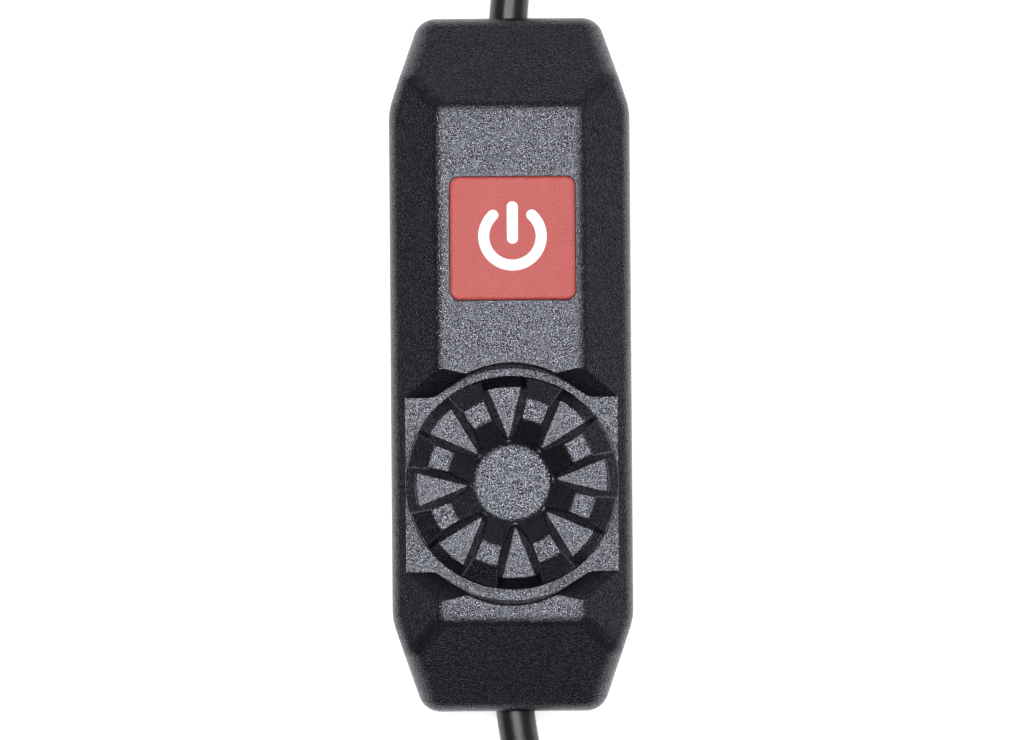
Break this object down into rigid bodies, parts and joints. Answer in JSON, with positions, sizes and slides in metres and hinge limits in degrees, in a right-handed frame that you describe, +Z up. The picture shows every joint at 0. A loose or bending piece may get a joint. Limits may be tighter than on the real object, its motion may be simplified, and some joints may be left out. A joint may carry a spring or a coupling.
{
  "type": "inline dimmer switch",
  "caption": "Inline dimmer for low-voltage lights: a hipped black housing with a square push button, a round finger dial and a lead with a connector at each end.",
  "frame": {"origin": "centre of the housing's underside, on the surface that it lies on", "axes": "+Z up through the button and the dial, +Y along the housing towards the push button and the supply lead, +X across it"},
  "size_m": [0.0346, 0.3446, 0.0225],
  "materials": {
    "black_shell": "fine spark-eroded texture, satin",
    "black_knob": "fine spark-eroded texture, satin",
    "red_button": "matt, very fine texture",
    "white_symbol": "matt",
    "plated_steel": "zinc plated",
    "pot_body": "pressed can",
    "black_rubber": "matt",
    "switch_plastic": "moulded",
    "green_board": "solder mask",
    "component_black": "moulded",
    "capacitor_sleeve": "shrink sleeve",
    "copper_winding": "enamelled wire",
    "led_lens": "clear",
    "clamp_plastic": "moulded",
    "red_insulation": "extruded",
    "black_insulation": "extruded",
    "cord_jacket": "extruded, soft sheen",
    "connector_plastic": "moulded",
    "nickel": "nickel plated"
  },
  "bodies": {
    "housing": {"upper_shell": "black_shell", "lower_shell": "black_shell", "housing_screws": "plated_steel", "board_screws": "plated_steel", "clamp_screws": "plated_steel", "dimmer_pot_body": "pot_body", "shaft_seal": "black_rubber", "tact_switch": "switch_plastic", "circuit_board": "green_board", "power_transistor": "component_black", "control_chip": "component_black", "storage_capacitor": "capacitor_sleeve", "power_coil": "copper_winding", "indicator_led": "led_lens", "input_grommet": "black_rubber", "output_grommet": "black_rubber", "input_clamp": "clamp_plastic", "output_clamp": "clamp_plastic", "input_core_red": "red_insulation", "output_core_red": "red_insulation", "input_core_black": "black_insulation", "output_core_black": "black_insulation", "input_cord": "cord_jacket", "output_cord": "cord_jacket", "dc_socket_body": "connector_plastic", "dc_socket_sleeve": "nickel", "dc_socket_pin": "nickel", "dc_plug_body": "connector_plastic", "dc_plug_barrel": "nickel", "dc_plug_core": "connector_plastic"},
    "button": {"power_button": "red_button", "power_symbol": "white_symbol", "tact_plunger": "switch_plastic"},
    "dial": {"dimmer_knob": "black_knob", "dimmer_shaft": "plated_steel"}
  },
  "joints": [
    {"name": "button_press", "type": "slide", "parent": "housing", "child": "button", "axis": [0, 0, -1], "range_m": [0, 0.0007], "stiffness_N_per_m": 900},
    {"name": "dial_turn", "type": "hinge", "parent": "housing", "child": "dial", "pos_m": [0, -0.0171, 0.018], "axis": [0, 0, 1], "range_deg": [-150, 130]}
  ]
}
